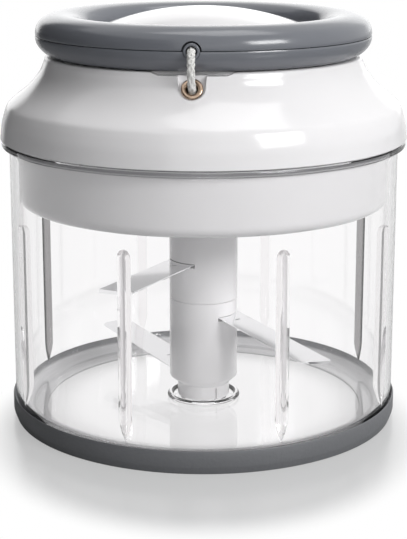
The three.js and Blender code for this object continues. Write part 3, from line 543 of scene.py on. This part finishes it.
flare = SKIRT_RADIUS - NECK_RADIUS
rise = SEAT_HEIGHT - SKIRT_BOTTOM
shoulder = [(SKIRT_RADIUS - inwards * flare, SKIRT_BOTTOM + up * rise)
            for inwards, up in SHOULDER_SHARES]
crown_reach = DOME_RADIUS - DOME_FILLET
crown = [(radius, DOME_TOP - DOME_SPHERE + sqrt(DOME_SPHERE ** 2 - radius ** 2))
         for radius in (crown_reach * (1 - i / CROWN_STEPS) for i in range(CROWN_STEPS + 1))]
lid_outline = [
    (SKIRT_RADIUS - 0.3, SKIRT_BOTTOM), *soft_line(shoulder),
    *fillet(NECK_RADIUS - NECK_FILLET, SEAT_HEIGHT - NECK_FILLET, NECK_FILLET, 10, 90, 4),
    (DOME_RADIUS + DOME_FOOT + 0.1, SEAT_HEIGHT),
    *fillet(DOME_RADIUS + DOME_FOOT, SEAT_HEIGHT + DOME_FOOT, DOME_FOOT, 270, 180, 4),
    *fillet(crown_reach, crown[0][1] - DOME_FILLET, DOME_FILLET, 0, 75, 6), *crown,
    (0, DOME_TOP - LID_WALL), *LID_INSIDE,
]
lid = made_piece("lid_shell_white", turned(lid_outline, closed=False), 40)
boss_outline = [(x, min(y, BOSS_FLAT)) for x, y in circle(BOSS_RADIUS)]
joined(lid, gathered([prism(boss_outline, *BOSS_SPAN, EYELET_FRAME)]), "UNION", 40)
pocket_outline = [*fillet(0, 0, POCKET_RADIUS, 180, 360, 20), (POCKET_MOUTH, POCKET_RISE),
                  (-POCKET_MOUTH, POCKET_RISE)]
joined(lid, gathered([prism(pocket_outline, *POCKET_SPAN, EYELET_FRAME)]), "DIFFERENCE", 40)
tube_hole = prism(circle(TUBE_HOLE), *TUBE_HOLE_SPAN, EYELET_FRAME)
joined(lid, gathered([tube_hole]), "DIFFERENCE", 40)
notch_outline = [(-NOTCH_FLOOR / 2, -NOTCH_DEPTH), (NOTCH_FLOOR / 2, -NOTCH_DEPTH),
                 (NOTCH_TOP / 2, 0.1), (NOTCH_TOP / 2, 2), (-NOTCH_TOP / 2, 2),
                 (-NOTCH_TOP / 2, 0.1)]
notch_place = (Matrix.Rotation(LID_TURN, 4, "Z") @ Matrix.Translation((0, 0, SEAT_HEIGHT))
               @ Matrix.Rotation(pi / 2, 4, "X"))
joined(lid, gathered([prism(notch_outline, *NOTCH_SPAN, notch_place)]), "DIFFERENCE", 40)

white_finish = Finish("glossy_white_plastic")
haze = white_finish.noise(35, 3)
white_finish.set(
    Base_Color=white_finish.blend(haze, (0.815, 0.805, 0.815), (0.845, 0.835, 0.845)),
    Roughness=haze * 0.05 + 0.11,
    Normal=white_finish.bump(white_finish.noise(220, 2), 0.00002),
)
finished(lid, white_finish, "lid", "lid_shell")

# Mechanism housing: the white cup under the lid shell that plugs the bowl, with a flange that
# rests on the bowl's rim and four recessed screws in its floor.
PLUG_RADIUS = 61.5
PLUG_BOTTOM = 73.3
PLUG_CORNER = 4.0
PLUG_FLOOR = 75.5
PLUG_INNER = 59.3
PLUG_TOP = 98.5
FLANGE_RADIUS = 64.8
FLANGE_UNDER = 95.1
FLANGE_TOP = 97.1
DRIVE_HOLE = 12.3
COLLAR_RADIUS = 14.5
COLLAR_TOP = 79.1
SCREW_CIRCLE = 46.1
housing_outline = [
    (DRIVE_HOLE, PLUG_BOTTOM + 0.3), (DRIVE_HOLE + 0.3, PLUG_BOTTOM),
    *fillet(PLUG_RADIUS - PLUG_CORNER, PLUG_BOTTOM + PLUG_CORNER, PLUG_CORNER, -90, 0),
    (PLUG_RADIUS, FLANGE_UNDER), (FLANGE_RADIUS, FLANGE_UNDER), (FLANGE_RADIUS, FLANGE_TOP),
    (PLUG_RADIUS, FLANGE_TOP), (PLUG_RADIUS, PLUG_TOP), (PLUG_INNER, PLUG_TOP),
    (PLUG_INNER, 78.4), (56.4, PLUG_FLOOR), (COLLAR_RADIUS, PLUG_FLOOR),
    (COLLAR_RADIUS, COLLAR_TOP), (DRIVE_HOLE, COLLAR_TOP),
]


def four_screws(circle_radius, outline, low, high):
    """Four like prisms on the screws' places."""
    places = []
    for index in range(4):
        angle = pi / 4 + index * pi / 2 + LID_TURN
        spot = (circle_radius * cos(angle), circle_radius * sin(angle), 0)
        places.append(Matrix.Translation(spot))
    return gathered([prism(outline, low, high, place) for place in places])


def screw_seats(piece, circle_radius, boss, recess, hole, crease):
    """Four bosses with a head recess and a hole, each given as (radius, bottom, top)."""
    steps = ((boss, 24, "UNION"), (recess, 24, "DIFFERENCE"), (hole, 12, "DIFFERENCE"))
    for (radius, low, high), corners, operation in steps:
        rounds = four_screws(circle_radius, circle(radius, corners), low, high)
        joined(piece, rounds, operation, crease)


housing = made_piece("plug_housing_white", turned(housing_outline), 30)
screw_seats(housing, SCREW_CIRCLE, boss=(4.0, 74.4, 78.5), recess=(3.2, 72, PLUG_FLOOR),
            hole=(1.8, 72, 80), crease=30)
finished(housing, white_finish, "lid", "mechanism_housing")

# Ring handle: two satin grey mouldings, a lower and an upper shell, that meet in a fine seam
# and are screwed together from below. The cord goes in through a hole in the front of the seam.
HANDLE_OUTER = 55.2
HANDLE_INNER = 39.4
HANDLE_BOTTOM = 122.2
HANDLE_CORNER = 1.2
HANDLE_WALL_OUTER = 53.0
HANDLE_WALL_INNER = 41.6
SEAM_HALF = 0.15
HANDLE_SCREW_CIRCLE = 47.3
LOWER_CORD_HOLE = 2.65
UPPER_CORD_HOLE = 3.05
CORD_HOLE_SPAN = (48, 57)
HANDLE_LOWER = [
    (HANDLE_OUTER, 128.55), (55.15, 127.5), (54.7, 125.98), (53.6, 124.47), (52.0, 123.04),
    (50.5, 122.28),
]
HANDLE_UPPER = [
    (HANDLE_OUTER, 128.85), (55.15, 129.97), (54.8, 131.45), (53.9, 133.15), (52.4, 134.3),
    (50.3, 135.2), (47.8, 135.6), (44.5, 135.4), (41.7, 134.55), (40.1, 133.05), (39.5, 131.25),
    (HANDLE_INNER, 129.75),
]
lower_top = SEAM_HEIGHT - SEAM_HALF
upper_bottom = SEAM_HEIGHT + SEAM_HALF
lower_outline = [
    (HANDLE_OUTER - 0.15, lower_top + 0.03), *soft_line(HANDLE_LOWER)[1:],
    (49.9, HANDLE_BOTTOM), (41.3, HANDLE_BOTTOM),
    *fillet(HANDLE_INNER + HANDLE_CORNER, HANDLE_BOTTOM + HANDLE_CORNER, HANDLE_CORNER,
            270, 180, 5),
    (HANDLE_INNER, lower_top), (HANDLE_WALL_INNER, lower_top), (HANDLE_WALL_INNER, 124.9),
    (42.3, 124.2), (50.1, 124.2), (52.2, 126.0), (52.9, 127.3), (HANDLE_WALL_OUTER, lower_top),
]
upper_outline = [
    (HANDLE_OUTER - 0.15, upper_bottom - 0.03), *soft_line(HANDLE_UPPER)[1:],
    (HANDLE_INNER, upper_bottom), (HANDLE_WALL_INNER, upper_bottom), (HANDLE_WALL_INNER, 131.2),
    (42.9, 132.8), (47.8, 133.4), (51.4, 132.5), (52.9, 130.4),
    (HANDLE_WALL_OUTER, upper_bottom),
]


def grained(name, grain, colours, roughness, metallic=0.0):
    """A finish whose colour and roughness (spread, least) follow one fine grain."""
    finish = Finish(name)
    pattern = finish.noise(*grain)
    spread, least = roughness
    finish.set(
        Base_Color=finish.blend(pattern, *colours),
        Metallic=metallic,
        Roughness=pattern * spread + least,
    )
    return finish


seam_place = (Matrix.Rotation(LID_TURN, 4, "Z") @ Matrix.Translation((0, 0, SEAM_HEIGHT))
              @ Matrix.Rotation(pi / 2, 4, "X"))
handle_lower = made_piece("ring_handle_lower", turned(lower_outline), 40)
screw_seats(handle_lower, HANDLE_SCREW_CIRCLE, boss=(3.6, 123.3, lower_top),
            recess=(3.2, 121, 124.7), hole=(1.8, 121, 130), crease=40)
lower_hole = prism(circle(LOWER_CORD_HOLE), *CORD_HOLE_SPAN, seam_place)
joined(handle_lower, gathered([lower_hole]), "DIFFERENCE", 40)
handle_upper = made_piece("ring_handle_upper", turned(upper_outline), 40)
upper_hole = prism(circle(UPPER_CORD_HOLE, 36), *CORD_HOLE_SPAN, seam_place)
joined(handle_upper, gathered([upper_hole]), "DIFFERENCE", 40)
handle_finish = grained("satin_grey_plastic", (90, 3),
                        ((0.15, 0.158, 0.178), (0.16, 0.168, 0.188)), (0.03, 0.17))
finished(handle_lower, handle_finish, "handle", "handle_lower")
finished(handle_upper, handle_finish, "handle", "handle_upper")

# Cord grommet: a small grey collar moulded like the ring and clamped in the front of its seam.
# It guides the cord round the edge, and a flange inside the ring holds it.
GROMMET_BORE = 1.65
GROMMET_OUTER = 2.5
GROMMET_FLANGE = 3.2
GROMMET_LIP = 0.25
lip_height = GROMMET_FRONT - GROMMET_LIP
grommet_outline = [
    (GROMMET_BORE, GROMMET_BACK), (GROMMET_FLANGE, GROMMET_BACK),
    (GROMMET_FLANGE, GROMMET_BACK + 1), (GROMMET_OUTER, GROMMET_BACK + 1.2),
    *fillet(GROMMET_OUTER - GROMMET_LIP, lip_height, GROMMET_LIP, 0, 90, 4),
    *fillet(GROMMET_BORE + GROMMET_LIP, lip_height, GROMMET_LIP, 90, 180, 4),
]
grommet = made_piece("cord_grommet_grey", placed(turned(grommet_outline, 48), seam_place), 40)
finished(grommet, handle_finish, "handle", "cord_grommet")

# Brass eyelet: a short drawn tube pressed into the neck's pocket, its rolled flange turned
# outwards, so that the cord runs over polished metal. The brass has dulled a little.
EYELET_BORE = 1.72
EYELET_TUBE = 2.3
EYELET_FLANGE = 3.2
EYELET_BACK = -7.5
EYELET_SEAT = -0.9
eyelet_outline = [
    (EYELET_BORE, EYELET_BACK), (EYELET_TUBE, EYELET_BACK), (EYELET_TUBE, EYELET_SEAT),
    (EYELET_FLANGE, EYELET_SEAT), *fillet(2.85, -0.45, 0.5, -60, 90, 6),
    *fillet(2.45, -0.65, 0.73, 90, 180, 6),
]
eyelet = made_piece("eyelet_brass", placed(turned(eyelet_outline, 64), EYELET_FRAME), 50)
brass_finish = Finish("dull_brass")
tarnish = brass_finish.noise(400, 4)
brass_finish.set(
    Base_Color=brass_finish.blend(tarnish.between(0.35, 0.7), (0.66, 0.50, 0.38),
                                  (0.42, 0.31, 0.23)),
    Metallic=1.0,
    Roughness=tarnish * 0.15 + 0.12,
)
finished(eyelet, brass_finish, "lid", "cord_eyelet")

# Blades: three strips cut from bright steel sheet and ground on one edge, at three heights and
# turns. Each is clamped in a slot of the shaft and has a small punched hole just outside it.
SHAFT_RADIUS = 11.6
BLADE_HALF = 0.6
BLADE_EDGE_HEIGHT = 0.35
BLADE_ROOT = 5.2
BLADE_TIP = 2.6
GRIND = 1.4
PUNCH_HEIGHT = 2
PUNCH_SPAN = (14.7, 15.3)
BLADES = {
    "blade_upper": {"height": 52.4, "turn": -118.5, "slope": 0, "edge": 2.6, "back": -8.64,
                    "reach": (51.48, 52.0)},
    "blade_middle": {"height": 33.8, "turn": -49.1, "slope": -9, "edge": -2.94, "back": 7.29,
                     "reach": (50.96, 53.56)},
    "blade_lower": {"height": 14.2, "turn": 125.5, "slope": 5.5, "edge": 9.83, "back": -1.47,
                    "reach": (52.0, 52.0)},
}
steel_finish = grained("bright_blade_steel", (900, 3),
                       ((0.92, 0.92, 0.93), (0.96, 0.96, 0.97)), (0.05, 0.05), 0.85)


def blade_frame(blade):
    """The place of a blade, which slopes up or down from where it leaves the shaft."""
    return (Matrix.Translation((0, 0, blade["height"]))
            @ Matrix.Rotation(radians(blade["turn"]), 4, "Z")
            @ Matrix.Translation((SHAFT_RADIUS, 0, 0))
            @ Matrix.Rotation(radians(-blade["slope"]), 4, "Y")
            @ Matrix.Translation((-SHAFT_RADIUS, 0, 0)))


def blade_outline(blade, ground=0.0):
    """A blade from above, with so much ground off its edge."""
    side = 1 if blade["edge"] > blade["back"] else -1
    edge = blade["edge"] - side * ground
    edge_reach, back_reach = blade["reach"]
    corner = fillet(edge_reach - BLADE_TIP, edge - side * BLADE_TIP, BLADE_TIP, 0, side * 90, 6)
    return [(BLADE_ROOT, blade["back"]), (back_reach, blade["back"]), *corner, (BLADE_ROOT, edge)]


def oblong(span, low, high):
    """The corners of an oblong, from near to far along x and from low to high along y."""
    near, far = span
    return [(near, low), (far, low), (far, high), (near, high)]


for name, blade in BLADES.items():
    low = [(x, y, -BLADE_HALF) for x, y in blade_outline(blade, GRIND)]
    edge = [(x, y, BLADE_EDGE_HEIGHT) for x, y in blade_outline(blade)]
    high = [(x, y, BLADE_HALF) for x, y in blade_outline(blade)]
    strip = made_piece(name + "_ground", placed(lofted([low, edge, high]), blade_frame(blade)), 12)
    middle = (blade["edge"] + blade["back"]) / 2
    punch = prism(oblong(PUNCH_SPAN, middle - 1, middle + 1), -PUNCH_HEIGHT, PUNCH_HEIGHT,
                  blade_frame(blade))
    joined(strip, gathered([punch]), "DIFFERENCE", 12)
    finished(strip, steel_finish, "blade_unit", name)

# Blade shaft: two white mouldings that meet in a fine line, the lower one on a narrow collar
# that turns on the pivot pin, the upper one with a hexagonal drive on top.
SHAFT_FOOT = 4.6
SHAFT_BORE = 2.8
SHAFT_BORE_TOP = 22.3
SHAFT_COLLAR = 8.9
SHAFT_SEAM = 39.4
SHAFT_TOP = 72.8
SEAM_LINE = 0.07
SEAM_BEVEL = 0.08
SPIGOT_RADIUS = 7.6
SPIGOT_BOTTOM = 37.35
SPIGOT_GAP = 0.3
HEX_RADIUS = 6.0
HEX_TOP = 83.1
COLLAR_SLOT_TURN = radians(-152)
BLADE_SLOT_SPAN = (4.9, 30)
BLADE_SLOT_GAP = 0.15
lower_shaft_outline = [
    (SHAFT_BORE, SHAFT_FOOT), (SHAFT_COLLAR - 0.2, SHAFT_FOOT), (SHAFT_COLLAR, SHAFT_FOOT + 0.2),
    (SHAFT_COLLAR, 9.2), (9.15, 9.55), (11.4, 11.5), (SHAFT_RADIUS, 11.9),
    (SHAFT_RADIUS, SHAFT_SEAM - 2 * SEAM_LINE), (SHAFT_RADIUS - SEAM_BEVEL, SHAFT_SEAM - SEAM_LINE),
    (SPIGOT_RADIUS + SPIGOT_GAP, SHAFT_SEAM - SEAM_LINE),
    (SPIGOT_RADIUS + SPIGOT_GAP, SPIGOT_BOTTOM - SPIGOT_GAP), (0, SPIGOT_BOTTOM - SPIGOT_GAP),
    (0, SHAFT_BORE_TOP), (SHAFT_BORE, SHAFT_BORE_TOP),
]
upper_shaft_outline = [
    (0, SPIGOT_BOTTOM), (SPIGOT_RADIUS, SPIGOT_BOTTOM), (SPIGOT_RADIUS, SHAFT_SEAM - 0.04),
    (SHAFT_RADIUS - 0.3, SHAFT_SEAM - 0.04), (SHAFT_RADIUS - 0.3, SHAFT_SEAM + SEAM_LINE),
    (SHAFT_RADIUS - SEAM_BEVEL, SHAFT_SEAM + SEAM_LINE), (SHAFT_RADIUS, SHAFT_SEAM + 2 * SEAM_LINE),
    (SHAFT_RADIUS, SHAFT_TOP - 0.3), (SHAFT_RADIUS - 0.3, SHAFT_TOP), (0, SHAFT_TOP),
]
shaft_lower = made_piece("shaft_lower_white", turned(lower_shaft_outline, 96), 30)
shaft_upper = made_piece("shaft_upper_white", turned(upper_shaft_outline, 96, closed=False), 30)
hexagon = prism(circle(HEX_RADIUS, 6), SHAFT_TOP - 1, HEX_TOP)
joined(shaft_upper, gathered([hexagon]), "UNION", 30)
collar_slot = prism(oblong((-0.5, 0.5), 7.9, 10), 3, 8.6, Matrix.Rotation(COLLAR_SLOT_TURN, 4, "Z"))
joined(shaft_lower, gathered([collar_slot]), "DIFFERENCE", 30)
for name, blade in BLADES.items():
    low, high = sorted((blade["edge"], blade["back"]))
    slot = oblong(BLADE_SLOT_SPAN, low - BLADE_SLOT_GAP, high + BLADE_SLOT_GAP)
    slot_half = BLADE_HALF + BLADE_SLOT_GAP
    room = prism(slot, -slot_half, slot_half, blade_frame(blade))
    host = shaft_lower if blade["height"] < SHAFT_SEAM else shaft_upper
    joined(host, gathered([room]), "DIFFERENCE", 30)
finished(shaft_lower, white_finish, "blade_unit", "blade_shaft_lower")
finished(shaft_upper, white_finish, "blade_unit", "blade_shaft_upper")

# Inner pieces: turned steel pin, axle and screws, a sintered bronze bush and a wound steel
# spring, and a dark moulded hub and drum that carry the rest of the cord inside the lid.
turned_finish = grained("turned_steel", (1200, 2, (1, 1, 8)),
                        ((0.45, 0.46, 0.47), (0.58, 0.59, 0.60)), (0.15, 0.22), 1.0)
spring_finish = grained("spring_steel", (150, 3),
                        ((0.22, 0.23, 0.26), (0.32, 0.33, 0.35)), (0.15, 0.3), 1.0)
bronze_finish = grained("sintered_bronze", (2500, 2),
                        ((0.30, 0.19, 0.08), (0.42, 0.28, 0.12)), (0.2, 0.4), 1.0)
dark_finish = grained("dark_moulded_plastic", (500, 3),
                      ((0.03, 0.033, 0.037), (0.045, 0.049, 0.055)), (0.1, 0.42))
INNER_FINISHES = {
    "pivot_pin": turned_finish, "drum_axle": turned_finish, "drum_bush": bronze_finish,
    "recoil_spring": spring_finish, "drive_hub": dark_finish, "cord_drum": dark_finish,
    "cord_winding": cord_finish, "cord_lead": cord_finish, "cord_knot": cord_finish,
}
for index in range(1, 5):
    INNER_FINISHES[f"housing_screw_{index}"] = turned_finish
    INNER_FINISHES[f"handle_screw_{index}"] = turned_finish
for name, finish in INNER_FINISHES.items():
    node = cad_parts[name]
    node.data.materials.clear()
    node.data.materials.append(finish.material)

# Floor and light: a pale glossy table that glows under the clear bowl as a painted pool of light,
# and a white backdrop. A large softbox stands at the right in front, weaker ones hang above and
# stand in front, and a dark card at the left shows in the gloss.
FLOOR_HALF = 4000
FLOOR_FADE = (0.060, 0.076)
FLOOR_FADE_SHIFT = (0, 0.016, 0)
FLOOR_FADE_SHAPE = (1, 0.8, 0)
FLOOR_GLOW = 0.42
UNDER_BOWL = (0.04, 0.056)
UNDER_BOWL_SEEN = 0.88
UNDER_BOWL_CAST = 0.55
BACKDROP_EDGE = (0.84, 0.9)
BACKDROP_EXTRA = 0.7
CARD_EDGE = (0.28, 0.36)
CARD_TOP = (0.62, 0.7)
CARD_DARKNESS = 0.96
SOFT_LEAST = 0.02
SOFT_RIGHT = 0.4
SOFT_RIGHT_EDGE = (0.0, 1.0)
SOFT_BACK = 0.55
SOFT_BACK_EDGE = (0.35, 0.95)
SOFT_ABOVE = 0.2
SOFT_ABOVE_EDGE = (0.3, 1.0)
LAMP_AIM = Vector((0, 0, 0.08))
LAMPS = {
    "key_softbox": {"place": (0.8, -0.82, 0.64), "size": (0.52, 0.34), "watts": 8.5, "shows": True},
    "top_softbox": {"place": (0.15, 0.1, 1.3), "size": (0.9, 0.7), "watts": 5.4, "shows": True},
    "front_softbox": {"place": (0.1, -1.3, 0.45), "size": (0.5, 0.4), "watts": 3.2, "shows": False},
}


def plain_view(tree):
    """1 where something is seen straight or through glass, and 0 elsewhere."""
    straight = tree.node("ShaderNodeLightPath", output="Is Camera Ray")
    through = tree.node("ShaderNodeLightPath", output="Is Transmission Ray")
    return (straight + through).between(0, 1)


floor_shell = bmesh.new()
bmesh.ops.create_grid(floor_shell, x_segments=1, y_segments=1, size=FLOOR_HALF)
floor = made_piece("floor", floor_shell)
floor_finish = Finish("pale_table")
floor.data.materials.append(floor_finish.material)
floor_finish.set(Base_Color=(0.38, 0.385, 0.39, 1), Roughness=0.2)
outside = floor_finish.reach(FLOOR_FADE_SHIFT, FLOOR_FADE_SHAPE).between(*FLOOR_FADE)
# Painted light: under the bowl the table glows, brighter where seen and also lighting the bowl's
# inside, in place of light coming through the clear bowl.
painted_light_under_bowl = 1 - floor_finish.reach().between(*UNDER_BOWL)
table_glow = (outside * (1 - FLOOR_GLOW) + FLOOR_GLOW) * (1 - painted_light_under_bowl)
seen = plain_view(floor_finish)
seen_glow = (table_glow + painted_light_under_bowl * UNDER_BOWL_SEEN) * seen
floor_finish.lit(seen_glow + painted_light_under_bowl * (1 - seen) * UNDER_BOWL_CAST, (1, 1, 1))

world = bpy.data.worlds.new("studio")
bpy.context.scene.world = world
studio = Tree(world)
direction = studio.node("ShaderNodeTexCoord", output="Generated")
side, ahead, up = (studio.node("ShaderNodeSeparateXYZ", None, {0: direction}, output=axis)
                   for axis in "XYZ")
plain = plain_view(studio)
glossy = studio.node("ShaderNodeLightPath", output="Is Glossy Ray") * (1 - plain)
backdrop = ahead.between(*BACKDROP_EDGE)
card = (0 - side).between(*CARD_EDGE) * (1 - backdrop) * (1 - up.between(*CARD_TOP))
mirrored = 1 - card * CARD_DARKNESS + backdrop * BACKDROP_EXTRA
soft = (SOFT_LEAST + side.between(*SOFT_RIGHT_EDGE) * SOFT_RIGHT
        + ahead.between(*SOFT_BACK_EDGE) * SOFT_BACK + up.between(*SOFT_ABOVE_EDGE) * SOFT_ABOVE)
background = studio.tree.nodes["Background"]
background.inputs["Color"].default_value = (1, 1, 1, 1)
strength = plain + glossy * mirrored + (1 - plain) * (1 - glossy) * soft
studio.feed(background.inputs["Strength"], strength)

for name, lamp in LAMPS.items():
    data = bpy.data.lights.new(name, "AREA")
    data.shape = "RECTANGLE"
    data.size, data.size_y = lamp["size"]
    data.energy = lamp["watts"]
    softbox = bpy.data.objects.new(name, data)
    bpy.context.scene.collection.objects.link(softbox)
    softbox.location = lamp["place"]
    softbox.rotation_euler = (LAMP_AIM - softbox.location).to_track_quat("-Z", "Y").to_euler()
    softbox.visible_glossy = lamp["shows"]
